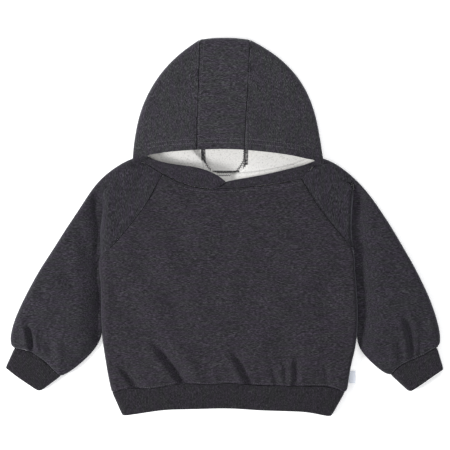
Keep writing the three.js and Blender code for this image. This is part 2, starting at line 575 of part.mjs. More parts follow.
// The sleeve's sections: those on the raglan seams are read from the table at the seams' stops.
function sleeveSections(side) {
  const table = sleeveRows[side];
  const onRaglan = table.filter((row) => !row.edge);
  const sections = [...raglanStops].reverse().map((share) => {
    const place = (1 - share) * (onRaglan.length - 1);
    const row = { share, underarm: share === 0 };
    for (const name of ['cy', 'ox', 'oy', 'top']) row[name] = column(onRaglan, name, place);
    const [a, b] = [Math.floor(place), Math.ceil(place)];
    row.step = lerp(onRaglan[a].step, onRaglan[b].step, place - a);
    return row;
  });
  return [...sections, ...table.filter((row) => row.edge)];
}

function sleeveGrid(side) {
  const inwards = side === 'right' ? 1 : -1;
  const grid = sleeveSections(side).map((row) => {
    const outer = new THREE.Vector2(row.ox, row.oy);
    const front = row.edge ? new THREE.Vector2(row.fx, row.fy) : raglanAt(frontRaglan, side, row.share);
    const tucked = row.edge && Math.abs(row.fx) < Math.abs(foldAt(side, row.fy)) + tuckedWithin;
    const below = smoothstep(underarm[side] - row.fy, tuckLength.from, tuckLength.to);
    if (tucked) front.x = foldAt(side, row.fy) + inwards * lerp(-underarmEase.below, tuck, below);
    if (row.underarm) front.x -= inwards * underarmEase.at;
    const start = row.edge ? front.clone() : new THREE.Vector2(foldAt(side, row.cy), row.cy);
    if (row.step === 0) start.lerpVectors(front, outer, 0.5);
    if (row.underarm) start.copy(front).lerp(outer, underarmLip / front.distanceTo(outer));
    const back = row.edge || row.underarm ? front : raglanAt(backRaglan, side, row.share);
    const middle = row.top / 2;
    const turn = Math.min(outerRound, middle);
    const line = innerPart(row, front, start, outer);
    const add = (from, to, distance, z) => {
      const at = from.clone().lerp(to, distance / from.distanceTo(to));
      line.push(new THREE.Vector3(at.x, at.y, z));
    };
    // Across the top to the outer fold
    const span = start.distanceTo(outer);
    const near = row.edge || foldClear;
    const foot = row.edge ? 2 * row.edge : creaseFoot;
    const level = line.at(-1).z;
    const rise = row.edge && !tucked ? freeRise : sleeveRise;
    for (const across of outwardShares) {
      const distance = lerp(near, span - turn, across);
      const at = start.clone().lerp(outer, distance / span);
      const swollen = foot + (row.top - foot) * smoothstep(distance - near, -rise * riseBack, rise);
      const plain = lerp(level, row.top, across);
      add(start, outer, distance, lerp(plain, swollen, row.step) - foldDepth(at.x, at.y));
    }
    for (const angle of roundAngles) {
      const a = degToRad(angle);
      add(start, outer, span - turn * (1 - Math.sin(a)), middle * (1 + Math.cos(a)));
    }
    // Back along the underside to the back seam, or round the inner edge
    const backSpan = outer.distanceTo(back);
    for (const angle of underAngles) {
      const a = degToRad(angle);
      add(outer, back, turn * (1 - Math.sin(a)), middle * (1 - Math.cos(a)));
    }
    const heel = row.edge || heelStops[0];
    for (const across of underShares) add(back, outer, lerp(heel, backSpan - turn, across), 0);
    heelStops.forEach((stop, k) => {
      if (row.edge) {
        const a = degToRad(heelAngles[k]);
        const slit = k === heelAngles.length - 1 ? seamGap / 2 : 0;
        add(back, outer, row.edge * (1 - Math.cos(a)), row.edge * (1 - Math.sin(a)) - slit);
      } else {
        add(back, outer, stop, lowerHeight(back.x, back.y) * (1 - stop / heelStops[0]) ** 2);
      }
    });
    return line;
  });
  // The first row lies on the neck seam, that the hood shares
  const neck = sleeveNeck(side);
  const outerColumn = innerAngles.length + outwardShares.length + roundAngles.length - 1;
  const lastColumn = grid[0].length - 1;
  grid[0].forEach((point, j) => {
    const place = j <= outerColumn ? lerp(neck.first, neck.outer, j / outerColumn)
      : lerp(neck.outer, neck.last, (j - outerColumn) / (lastColumn - outerColumn));
    const row = Math.min(Math.floor(place + 1e-6), neck.rows.length - 2);
    const [from, to] = [neck.rows[row], neck.rows[row + 1]];
    const share = place - row;
    point.set(lerp(from.nx, to.nx, share), lerp(from.ny, to.ny, share), lerp(from.nz, to.nz, share));
  });
  // The last rows take up the curve of the cuff seam
  const seam = [...cuffLines[side].seam].sort((a, b) => a.x - b.x);
  const [seamStart, seamEnd] = [seam[0], seam.at(-1)];
  const bows = grid.at(-1).map((point) => {
    const x = clamp(point.x, seamStart.x, seamEnd.x);
    return yAt(seam, x) - lerp(seamStart.y, seamEnd.y, (x - seamStart.x) / (seamEnd.x - seamStart.x));
  });
  grid.slice(-seamRows).forEach((line, k) => {
    line.forEach((point, j) => { point.y += (bows[j] * (k + 1)) / seamRows; });
  });
  return grid;
}

// A flattened rib tube: its first ring is the seam, its last one lies on the end line.
const bandRows = 5;
const bandSink = 1;                               // how much lower a band is at its end than at its seam
function bandTube(name, ring, end, endTop, axis) {
  const sorted = [...end].sort((a, b) => a.x - b.x);
  const xs = ring.map((point) => point.x);
  const [low, high] = [Math.min(...xs), Math.max(...xs)];
  const top = Math.max(...ring.map((point) => point.z));
  const last = ring.map((point) => {
    const x = lerp(sorted[0].x, sorted.at(-1).x, (point.x - low) / (high - low));
    return new THREE.Vector3(x, yAt(sorted, x), (point.z * endTop) / top);
  });
  const grid = range(0, 1, bandRows).map((down) => ring.map((point, j) => point.clone().lerp(last[j], down)));
  return wall(name, pullBack(grid, { lastRow: false, columns: false }), rib, colours.rib,
    { closed: true, seams: { first: axis } });
}

// Hood panels: each line runs over the top sheet from the brim, turns under and goes on to the neck.
const topShares = [0, 0.06, 0.16, 0.3, 0.46, 0.62, 0.78, 0.9, 1];
const turnAngles = [30, 54, 74, 90];
const hoodUnderShares = [0.2, 0.45, 0.7, 0.88, 1];

const shortRound = 0.5;                           // most of a short sheet that its turn takes up
const brimEase = 0.9;                             // how the top sheet falls away from the brim

function hoodLine(row) {
  const brim = new THREE.Vector2(row.bx, row.by);
  const turn = new THREE.Vector2(row.sx, row.sy);
  const neck = new THREE.Vector2(row.nx, row.ny);
  const top = row.top ?? row.sz;
  const under = row.under ?? row.sz;
  const reach = brim.distanceTo(turn);
  const back = turn.distanceTo(neck);
  const line = [];
  const add = (from, to, distance, z) => {
    const at = from.clone().lerp(to, distance / from.distanceTo(to));
    line.push(new THREE.Vector3(at.x, at.y, z));
  };
  const round = Math.min(row.round, reach * shortRound);
  const backRound = Math.min(row.round, back * shortRound);
  for (const share of topShares) {
    add(brim, turn, share * (reach - round), lerp(row.bz, top, share ** brimEase));
  }
  for (const angle of turnAngles) {
    const a = degToRad(angle);
    add(turn, brim, round * (1 - Math.sin(a)), row.sz + (top - row.sz) * Math.cos(a));
  }
  for (const angle of [...turnAngles].reverse().slice(1).concat(0)) {
    const a = degToRad(angle);
    add(turn, neck, backRound * (1 - Math.sin(a)), row.sz - (row.sz - under) * Math.cos(a));
  }
  for (const share of hoodUnderShares) {
    add(turn, neck, lerp(backRound, back, share), lerp(under, row.nz, share));
  }
  return line;
}

const hoodSide = (side) => hoodRows[side].map((row) => hoodLine(row));

function hoodCentre() {
  const seams = { right: hoodRows.right.at(-1), left: hoodRows.left.at(-1) };
  return range(0, 1, 8).map((u) => {
    const row = {};
    for (const key of Object.keys(seams.right)) row[key] = lerp(seams.right[key], seams.left[key], u);
    row.by = yAt(brimMiddle, row.bx);
    row.sy = yAt(crown, row.sx);
    row.bz = lerp(row.bz, brimTop, 4 * u * (1 - u));
    return hoodLine(row);
  });
}

// A folded loop of ribbon in the side seam, its folded end outwards.
function sideLabel(name) {
  const { out, along, thick, top, height } = labelSize;
  const half = thick / 2;
  const section = new THREE.Shape();
  section.moveTo(0, -half);
  section.lineTo(out - half, -half);
  section.absarc(out - half, 0, half, -Math.PI / 2, Math.PI / 2, false);
  section.lineTo(0, half);
  section.closePath();
  const shape = { depth: along, bevelEnabled: false, curveSegments: 6 };
  const geometry = new THREE.ExtrudeGeometry(section, shape);
  const material = new THREE.MeshStandardMaterial({ color: colours.label, roughness: 0.8, metalness: 0 });
  const mesh = new THREE.Mesh(geometry, material);
  const lean = Math.atan2(foldAt('left', top) - foldAt('left', top - along), along);
  mesh.rotation.set(Math.PI / 2, 0, -lean, 'ZYX');
  mesh.position.set(foldAt('left', top) + seamGap + labelSettle, top, height);
  mesh.name = name;
  return mesh;
}

const grids = {
  front_body: bodyGrid(frontRaglan, neckFront, frontColumns, upperHeight),
  back_body: bodyGrid(backRaglan, neckBack, backColumns, lowerHeight),
  right_sleeve: sleeveGrid('right'),
  left_sleeve: sleeveGrid('left'),
  hood_right_side: hoodSide('right'),
  hood_left_side: hoodSide('left'),
  hood_centre: hoodCentre(),
};

// The ends of the hood's lines that lie on a neck seam, without one of two that are close together
const besideSeam = 2;
const apart = 5;
const hoodEnds = [...hoodRows.right, ...hoodRows.left].map((row) => ({ x: row.nx, y: row.ny }));
const endsOn = (line) => hoodEnds
  .filter((end) => end.x > line[0].x && end.x < line.at(-1).x)
  .filter((end) => Math.abs(yAt(line, end.x) - end.y) < besideSeam)
  .sort((a, b) => a.x - b.x)
  .filter((end, k, all) => k === all.length - 1 || all[k + 1].x - end.x > apart);
meetHood(grids.front_body, endsOn(neckFront));
meetHood(grids.back_body, endsOn(neckBack));

// The waistband's and cuffs' first rings are the ends of the cloth that they gather
const bodyRing = [...grids.front_body[0], ...grids.back_body[0].slice(1, -1).reverse()];
const cuffRing = (grid) => grid.at(-1).slice(0, -1).map((point, j) => (
  j === 0 ? point.clone().setZ(cuffTop / 2) : point.clone()));

// Directions across the seams
const up = new THREE.Vector3(0, 0, 1);
const along = new THREE.Vector3(0, 1, 0);
const across = new THREE.Vector3(1, 0, 0);
const cuffAxis = (side) => {
  const { seam } = cuffLines[side];
  return new THREE.Vector3(seam.at(-1).y - seam[0].y, seam[0].x - seam.at(-1).x, 0).normalize();
};
const onSide = (i) => (i <= bodySideRows.length ? up : 'plan');
const onSleeve = (i) => (i < raglanStops.length - 1 ? 'plan' : up);
const seams = {
  front_body: { first: along, last: along, start: onSide, end: onSide },
  back_body: { first: along, last: along, start: onSide, end: onSide },
  right_sleeve: { first: 'plan', last: cuffAxis('right'), start: onSleeve, end: onSleeve },
  left_sleeve: { first: 'plan', last: cuffAxis('left'), start: onSleeve, end: onSleeve },
  hood_right_side: { last: across },
  hood_left_side: { last: across },
  hood_centre: { first: across, last: across },
};

const pieces = Object.entries(grids).map(([name, grid]) => wall(
  name, pullBack(grid), fleece, colours.fleece, { seams: seams[name] }));
pieces.push(bandTube('waistband', bodyRing, bandHem, bandTop - bandSink, along));
for (const side of ['right', 'left']) {
  const ring = cuffRing(grids[`${side}_sleeve`]);
  pieces.push(bandTube(`${side}_cuff`, ring, cuffLines[side].end, cuffTop - bandSink, cuffAxis(side)));
}
pieces.push(sideLabel('side_label'));

const hoodie = new THREE.Group();
hoodie.name = 'toddler_hoodie';
hoodie.add(...pieces);
hoodie.position.y = centreShift;

export default hoodie;
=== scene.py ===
# A toddler's raglan hoodie in charcoal melange sweatshirt fleece, laid flat on its back.
# Metres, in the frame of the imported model: X to the wearer's left, Y up to the hood, Z up.

import math

import bmesh
import bpy
import numpy as np
from mathutils import Matrix, Vector
from mathutils.bvhtree import BVHTree
from mathutils.kdtree import KDTree


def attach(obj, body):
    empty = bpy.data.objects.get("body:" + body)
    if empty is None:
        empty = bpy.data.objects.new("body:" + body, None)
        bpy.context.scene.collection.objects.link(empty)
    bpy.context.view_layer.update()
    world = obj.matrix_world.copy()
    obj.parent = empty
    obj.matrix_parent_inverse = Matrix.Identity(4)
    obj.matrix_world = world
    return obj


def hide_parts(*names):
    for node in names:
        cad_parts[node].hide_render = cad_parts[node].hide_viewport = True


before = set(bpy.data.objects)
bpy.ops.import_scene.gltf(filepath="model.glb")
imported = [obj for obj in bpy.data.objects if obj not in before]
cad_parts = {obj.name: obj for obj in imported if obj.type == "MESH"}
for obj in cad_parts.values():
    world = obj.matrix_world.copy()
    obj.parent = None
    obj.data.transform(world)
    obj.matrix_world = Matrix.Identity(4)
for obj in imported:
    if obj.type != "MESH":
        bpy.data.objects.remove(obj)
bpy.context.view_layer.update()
scene = bpy.context.scene

# The camera looks straight down on the garment, with a long lens, so that 450 pixels
# take in 581 mm at the height of its outline.
view_width = 0.581
outline_height = 0.008
lens = 100
sensor = 36
camera_data = bpy.data.cameras.new("camera")
camera_data.lens = lens
camera_data.sensor_width = sensor
camera = bpy.data.objects.new("camera", camera_data)
camera.location = (0.0006, 0.0030, outline_height + view_width * lens / sensor)
scene.collection.objects.link(camera)
scene.camera = camera

# A plain white surface under the garment, and the soft light of a studio table: a pale world, one
# lamp overhead, one from the wearer's right and a weaker one from behind the hood.
bm = bmesh.new()
bmesh.ops.create_grid(bm, x_segments=1, y_segments=1, size=4)
floor_mesh = bpy.data.meshes.new("floor")
bm.to_mesh(floor_mesh)
bm.free()
floor = bpy.data.objects.new("floor", floor_mesh)
floor.location.z = -0.0002
scene.collection.objects.link(floor)
paper = bpy.data.materials.new("white_surface")
paper.use_nodes = True
shader = paper.node_tree.nodes["Principled BSDF"]
shader.inputs["Base Color"].default_value = (0.93, 0.93, 0.93, 1)
shader.inputs["Roughness"].default_value = 0.9
shader.inputs["Emission Color"].default_value = (1, 1, 1, 1)
shader.inputs["Emission Strength"].default_value = 0.3
floor_mesh.materials.append(paper)

world = bpy.data.worlds.new("studio")
world.use_nodes = True
sky = world.node_tree.nodes["Background"]
sky.inputs["Color"].default_value = (0.96, 0.97, 1, 1)
sky.inputs["Strength"].default_value = 0.46
scene.world = world
scene.view_settings.view_transform = "Standard"
for name, place, size, watts in [
    ("light_above", (0, -0.3, 2.3), 1.0, 14),
    ("light_side", (-1.7, -0.4, 1.15), 0.6, 44),
    ("light_behind", (0.5, 1.5, 1.4), 1.0, 12),
]:
    light = bpy.data.lights.new(name, "AREA")
    light.size = size
    light.energy = watts
    lamp = bpy.data.objects.new(name, light)
    lamp.location = place
    lamp.rotation_euler = (-Vector(place)).to_track_quat("-Z", "Y").to_euler()
    scene.collection.objects.link(lamp)


# Front of the body: one raglan-cut panel of brushed sweatshirt fleece, smooth knit outside and
# loops inside. It is gathered a little into the waistband, which pulls short folds into it.
fleece_dark = (0.0026, 0.0021, 0.0032)
fleece_mid = (0.0160, 0.0139, 0.0190)
fleece_light = (0.0600, 0.0540, 0.0680)


def node_group(name, inputs, outputs):
    """An empty shader group with its sockets, and its first and last nodes."""
    group = bpy.data.node_groups.new(name, "ShaderNodeTree")
    for label, kind, value in inputs:
        socket = group.interface.new_socket(label, in_out="INPUT", socket_type="NodeSocket" + kind)
        socket.default_value = value
    for label, kind in outputs:
        group.interface.new_socket(label, in_out="OUTPUT", socket_type="NodeSocket" + kind)
    return group, group.nodes.new("NodeGroupInput"), group.nodes.new("NodeGroupOutput")


def noise(tree, vector, scale, detail=2.0, roughness=0.5):
    node = tree.nodes.new("ShaderNodeTexNoise")
    node.inputs["Scale"].default_value = scale
    node.inputs["Detail"].default_value = detail
    node.inputs["Roughness"].default_value = roughness
    tree.links.new(vector, node.inputs["Vector"])
    return node.outputs["Fac"]


def remapped(tree, value, low, high, to_low=0.0, to_high=1.0):
    node = tree.nodes.new("ShaderNodeMapRange")
    node.inputs["From Min"].default_value = low
    node.inputs["From Max"].default_value = high
    node.inputs["To Min"].default_value = to_low
    node.inputs["To Max"].default_value = to_high
    tree.links.new(value, node.inputs["Value"])
    return node.outputs["Result"]


def mixed(tree, factor, first, second, blend="MIX"):
    node = tree.nodes.new("ShaderNodeMix")
    node.data_type = "RGBA"
    node.blend_type = blend
    for value, socket in [(factor, 0), (first, 6), (second, 7)]:
        if isinstance(value, (tuple, float, int)):
            node.inputs[socket].default_value = value
        else:
            tree.links.new(value, node.inputs[socket])
    return node.outputs[2]


def combined(tree, operation, first, second):
    node = tree.nodes.new("ShaderNodeMath")
    node.operation = operation
    for value, socket in [(first, 0), (second, 1)]:
        if isinstance(value, (float, int)):
            node.inputs[socket].default_value = value
        else:
            tree.links.new(value, node.inputs[socket])
    return node.outputs[0]


# Melange yarn: dark and light fibres spun together, which show as short streaks along the rows,
# in a hue that wanders a little between green and violet
melange, start, end = node_group("melange", [
    ("Grain", "Vector", (0, 0, 0)),
    ("Dark", "Color", (*fleece_dark, 1)),
    ("Middle", "Color", (*fleece_mid, 1)),
    ("Light", "Color", (*fleece_light, 1)),
], [("Color", "Color"), ("Height", "Float")])
grain = start.outputs["Grain"]
streaks = noise(melange, grain, 1.0, 2.0, 0.6)
flecks = noise(melange, grain, 1.7, 2.0, 0.6)
clouds = noise(melange, grain, 0.12, 2.0, 0.6)
dark_part = remapped(melange, streaks, 0.30, 0.60)
colour = mixed(melange, dark_part, start.outputs["Dark"], start.outputs["Middle"])
light_part = remapped(melange, flecks, 0.47, 0.72)
colour = mixed(melange, light_part, colour, start.outputs["Light"])
cloud_part = remapped(melange, clouds, 0.35, 0.7, 0.0, 0.3)
colour = mixed(melange, cloud_part, colour, start.outputs["Middle"])
hues = remapped(melange, noise(melange, grain, 0.21, 2.0, 0.6), 0.42, 0.58)
hue = mixed(melange, hues, (0.97, 1.05, 0.93, 1), (1.04, 0.96, 1.06, 1))
colour = mixed(melange, 1.0, colour, hue, "MULTIPLY")
melange.links.new(colour, end.inputs["Color"])
melange.links.new(combined(melange, "ADD", streaks, flecks), end.inputs["Height"])


def fleece_material(name, streak_scale, turn=0.0, tint=(1, 1, 1), turned_from=None, turned_to=None):
    """Outer face of the fleece; the streaks run along the axis with the smallest scale.

    tint multiplies the three colours of the yarn. From turned_from to turned_to, two places along
    X, the streaks turn from along X to along Y."""
    material = bpy.data.materials.new(name)
    material.use_nodes = True
    tree = material.node_tree
    shader = tree.nodes["Principled BSDF"]
    place = tree.nodes.new("ShaderNodeTexCoord")
    mapping = tree.nodes.new("ShaderNodeMapping")
    mapping.inputs["Rotation"].default_value = (0, 0, turn)
    mapping.inputs["Scale"].default_value = streak_scale
    tree.links.new(place.outputs["Object"], mapping.inputs["Vector"])
    yarn = tree.nodes.new("ShaderNodeGroup")
    yarn.node_tree = melange
    for label, value in [("Dark", fleece_dark), ("Middle", fleece_mid), ("Light", fleece_light)]:
        yarn.inputs[label].default_value = (*[part * share for part, share in zip(value, tint)], 1)
    tree.links.new(mapping.outputs["Vector"], yarn.inputs["Grain"])
    colour = yarn.outputs["Color"]
    if turned_from is not None:
        along_y = tree.nodes.new("ShaderNodeMapping")
        along_y.inputs["Scale"].default_value = (streak_scale[1], streak_scale[0], streak_scale[2])
        tree.links.new(place.outputs["Object"], along_y.inputs["Vector"])
        other = tree.nodes.new("ShaderNodeGroup")
        other.node_tree = melange
        for label in ("Dark", "Middle", "Light"):
            other.inputs[label].default_value = yarn.inputs[label].default_value
        tree.links.new(along_y.outputs["Vector"], other.inputs["Grain"])
        axes = tree.nodes.new("ShaderNodeSeparateXYZ")
        tree.links.new(place.outputs["Object"], axes.inputs["Vector"])
        part = remapped(tree, axes.outputs["X"], turned_from, turned_to)
        colour = mixed(tree, part, colour, other.outputs["Color"])
    tree.links.new(colour, shader.inputs["Base Color"])
    bump = tree.nodes.new("ShaderNodeBump")
    bump.inputs["Strength"].default_value = 0.5
    bump.inputs["Distance"].default_value = 0.0005
    tree.links.new(yarn.outputs["Height"], bump.inputs["Height"])
    tree.links.new(bump.outputs["Normal"], shader.inputs["Normal"])
    shader.inputs["Roughness"].default_value = 0.92
    shader.inputs["Specular IOR Level"].default_value = 0.25
    shader.inputs["Sheen Weight"].default_value = 0.22
    shader.inputs["Sheen Roughness"].default_value = 0.4
    shader.inputs["Sheen Tint"].default_value = (0.8, 0.82, 0.95, 1)
    return material


fleece_across = fleece_material("fleece_rows_across", (160, 760, 600))

# Inner face: loopback terry in pale grey, with darker specks where the outer yarn shows through
loop_scale = 800
loops, start, end = node_group("terry_loops", [
    ("Place", "Vector", (0, 0, 0)),
    ("Pale", "Color", (0.74, 0.73, 0.71, 1)),
    ("Speck", "Color", (0.38, 0.375, 0.36, 1)),
], [("Color", "Color"), ("Height", "Float")])
curls = noise(loops, start.outputs["Place"], 1.0, 3.0, 0.65)
specks = noise(loops, start.outputs["Place"], 0.62, 3.0, 0.7)
speck_part = remapped(loops, specks, 0.52, 0.72, 0.0, 0.75)
speckled = mixed(loops, speck_part, start.outputs["Pale"], start.outputs["Speck"])
loops.links.new(speckled, end.inputs["Color"])
loops.links.new(curls, end.inputs["Height"])

terry = bpy.data.materials.new("terry_inside")
terry.use_nodes = True
tree = terry.node_tree
shader = tree.nodes["Principled BSDF"]
place = tree.nodes.new("ShaderNodeTexCoord")
mapping = tree.nodes.new("ShaderNodeMapping")
mapping.inputs["Scale"].default_value = (loop_scale, loop_scale, loop_scale)
tree.links.new(place.outputs["Object"], mapping.inputs["Vector"])
surface = tree.nodes.new("ShaderNodeGroup")
surface.node_tree = loops
tree.links.new(mapping.outputs["Vector"], surface.inputs["Place"])
tree.links.new(surface.outputs["Color"], shader.inputs["Base Color"])
bump = tree.nodes.new("ShaderNodeBump")
bump.inputs["Strength"].default_value = 0.8
bump.inputs["Distance"].default_value = 0.0009
tree.links.new(surface.outputs["Height"], bump.inputs["Height"])
tree.links.new(bump.outputs["Normal"], shader.inputs["Normal"])
shader.inputs["Roughness"].default_value = 0.95
shader.inputs["Sheen Weight"].default_value = 0.1


def bound_material(name, scale, thread_colour, between_colour):
    """Cloth bound in overlock stitching: thread, and what shows between its turns."""
    material = bpy.data.materials.new(name)
    material.use_nodes = True
    tree = material.node_tree
    shader = tree.nodes["Principled BSDF"]
    place = tree.nodes.new("ShaderNodeTexCoord")
    thread = noise(tree, place.outputs["Object"], scale, 2.0, 0.6)
    between = remapped(tree, thread, 0.46, 0.56)
    tree.links.new(mixed(tree, between, thread_colour, between_colour), shader.inputs["Base Color"])
    bump = tree.nodes.new("ShaderNodeBump")
    bump.inputs["Strength"].default_value = 0.8
    bump.inputs["Distance"].default_value = 0.0006
    tree.links.new(thread, bump.inputs["Height"])
    tree.links.new(bump.outputs["Normal"], shader.inputs["Normal"])
    shader.inputs["Roughness"].default_value = 0.9
    return material


cut_edge = bound_material("cut_edge", 900, (0.012, 0.010, 0.013, 1), (0.04, 0.037, 0.043, 1))
seam_allowance = bound_material("overlocked_allowance", 420, (0.035, 0.034, 0.036, 1),
                                (0.24, 0.235, 0.23, 1))

wall_trees = {}
for name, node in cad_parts.items():
    points = [vert.co for vert in node.data.vertices]
    faces = [tuple(face.vertices) for face in node.data.polygons]
    wall_trees[name] = BVHTree.FromPolygons(points, faces)
seam_reach = 0.0016       # pieces closer than this are sewn together
wall = 0.002              # thickness of the cloth
widest_wall = 0.0042      # a side of the wall narrower than this is its edge
flat_lean = 0.004         # a side that bulges less than this is flat
wall_corner = math.radians(52)
upper_layer = 0.009       # the layers that face up are above this, at a crown or a dome
lower_layer = 0.0045      # the layers on the surface are below this
allowance = 3.2           # millimetres of seam allowance


def is_sewn(node, point):
    """True where another piece is just beside the point; a free edge is folded over as a hem."""
    others = (tree for name, tree in wall_trees.items() if name not in (node, "side_label"))
    return any(tree.find_nearest(point, seam_reach)[0] is not None for tree in others)


def cloth_from(node, levels, cloths, lies_on_face=False):
    """A node's wall as smooth cloth. cloths are its outside, inside, sewn edges and seam allowances.

    Where it is flat its outside faces up, or down where the piece lies on its outer face."""
    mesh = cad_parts[node].data.copy()
    bm = bmesh.new()
    bm.from_mesh(mesh)
    crease = bm.edges.layers.float.new("crease_edge")
    bmesh.ops.remove_doubles(bm, verts=bm.verts, dist=1e-5)
    bmesh.ops.join_triangles(bm, faces=bm.faces, angle_face_threshold=math.radians(50),
                             angle_shape_threshold=math.radians(80))
    bm.faces.index_update()
    sharp = {edge for edge in bm.edges
             if len(edge.link_faces) == 2 and edge.calc_face_angle() > wall_corner}
    # Faces that touch without a sharp edge between them are one side of the wall
    unseen = set(bm.faces)
    sides = []
    while unseen:
        waiting = [unseen.pop()]
        side = []
        while waiting:
            face = waiting.pop()
            side.append(face)
            for edge in face.edges:
                if edge in sharp:
                    continue
                for other in edge.link_faces:
                    if other in unseen:
                        unseen.remove(other)
                        waiting.append(other)
        sides.append(side)
    sides.sort(key=lambda side: -sum(face.calc_area() for face in side))
    rank_of = {face.index: rank for rank, side in enumerate(sides) for face in side}
    walls = BVHTree.FromBMesh(bm)
    slots = []
    for rank, side in enumerate(sides):
        area = sum(face.calc_area() for face in side)
        rim = sum(edge.calc_length() for face in side for edge in face.edges if edge in sharp)
        middle = sum((face.calc_center_median() * face.calc_area() for face in side), Vector()) / area
        lean = sum((face.calc_center_median() - middle).dot(face.normal) * face.calc_area()
                   for face in side)
        if abs(lean) < flat_lean * area:
            lean = sum(face.normal.z * face.calc_area() for face in side) * (-1 if lies_on_face else 1)
        narrow = rim > 0 and 2 * area / rim < widest_wall
        slot = 0 if lean > 0 else 1
        if rank > 1:
            # A smaller part of the wall is the outside where the wall's other face is the inside
            behind = [0, 0]
            for face in side:
                start = face.calc_center_median() - face.normal * 1e-5
                _, _, index, _ = walls.ray_cast(start, -face.normal, 2 * wall)
                if index is not None and rank_of[index] < 2:
                    behind[slots[rank_of[index]]] += face.calc_area()
            if max(behind) > 0:
                slot = 1 - behind.index(max(behind))
        slots.append(slot)
        for face in side:
            face.smooth = True
            face.material_index = slot
            if narrow:
                sewn = is_sewn(node, face.calc_center_median())
                face.material_index = 2 if sewn else 0
                for edge in face.edges:
                    if edge in sharp and sewn:
                        edge[crease] = 1.0
    mesh.materials.clear()
    for material in cloths:
        mesh.materials.append(material)
    bm.to_mesh(mesh)
    bm.free()
    rough = bpy.data.objects.new(node + "_rough", mesh)
    scene.collection.objects.link(rough)
    divide = rough.modifiers.new("smooth", "SUBSURF")
    divide.levels = divide.render_levels = levels
    fine = bpy.data.meshes.new_from_object(rough.evaluated_get(bpy.context.evaluated_depsgraph_get()))
    bpy.data.objects.remove(rough)
    # Of the upper layer the outside faces up, and of the lower one it faces down
    for face in fine.polygons:
        layer = 1 if face.center.z > upper_layer else -1 if face.center.z < lower_layer else 0
        if layer and abs(face.normal.z) > 0.6 and face.material_index < 2:
            face.material_index = 0 if face.normal.z * layer > 0 else 1
    piece = bpy.data.objects.new(node + "_cloth", fine)
    fine.name = piece.name
    scene.collection.objects.link(piece)
    return piece


def creased(x, y, creases):
    """Height of soft ridges and troughs, for arrays of places in millimetres.

    Each crease is its first end's x and y, its last end's x and y, its half width and its rise."""
    height = np.zeros_like(x)
    for x0, y0, x1, y1, width, rise in creases:
        length = math.hypot(x1 - x0, y1 - y0)
        ux, uy = (x1 - x0) / length, (y1 - y0) / length
        along = ((x - x0) * ux + (y - y0) * uy) / length
        across = (x - x0) * uy - (y - y0) * ux
        bow = across + 0.03 * length * np.sin(math.pi * np.clip(along, 0, 1))
        ends = np.clip((along + 0.12) / 0.4, 0, 1) * np.clip((1.12 - along) / 0.4, 0, 1)
        height += rise * ends * ends * (3 - 2 * ends) * np.exp(-(bow / width) ** 2)
    return height


def uneven(x, y, seed, length, waves=9):
    """A gentle rolling of the cloth: waves of about one length in scattered directions."""
    chance = np.random.default_rng(seed)
    height = np.zeros_like(x)
    for _ in range(waves):
        angle = chance.uniform(0, 2 * math.pi)
        turns = 2 * math.pi / (length * chance.uniform(0.7, 1.5))
        phase = chance.uniform(0, 2 * math.pi)
        height += np.sin((x * math.cos(angle) + y * math.sin(angle)) * turns + phase)
    return height / math.sqrt(waves)


def folded(x, y, folds):
    """Height of cloth that lies doubled to the left of lines, for arrays of places in millimetres.

    Each fold is its first end's x and y, its last end's x and y, its rise and how far it reaches."""
    height = np.zeros_like(x)
    for x0, y0, x1, y1, rise, reach in folds:
        length = math.hypot(x1 - x0, y1 - y0)
        ux, uy = (x1 - x0) / length, (y1 - y0) / length
        along = ((x - x0) * ux + (y - y0) * uy) / length
        left = (y - y0) * ux - (x - x0) * uy
        edge = np.clip(left, 0, 1)
        ends = np.clip((along + 0.5) / 0.5, 0, 1) * np.clip((1.5 - along) / 0.5, 0, 1)
        flat = np.exp(-(np.maximum(left, 0) / reach) ** 2)
        height += rise * ends * edge * edge * (3 - 2 * edge) * flat
    return height


edge_calm = 4.5           # creases die out this far from a sewn edge
edge_share = 0.12         # and keep this share of their height at it
seam_width = 2.0          # half width of the groove at a seam
pucker_length = 9         # from one pucker of a seam to the next
pucker_at = 4             # how far from the seam the puckers are highest
roll_length = 60          # from one rise of the cloth to the next
lowest_outside = 5.4      # the upper layer stays above these, outside and inside
lowest_inside = 3.2


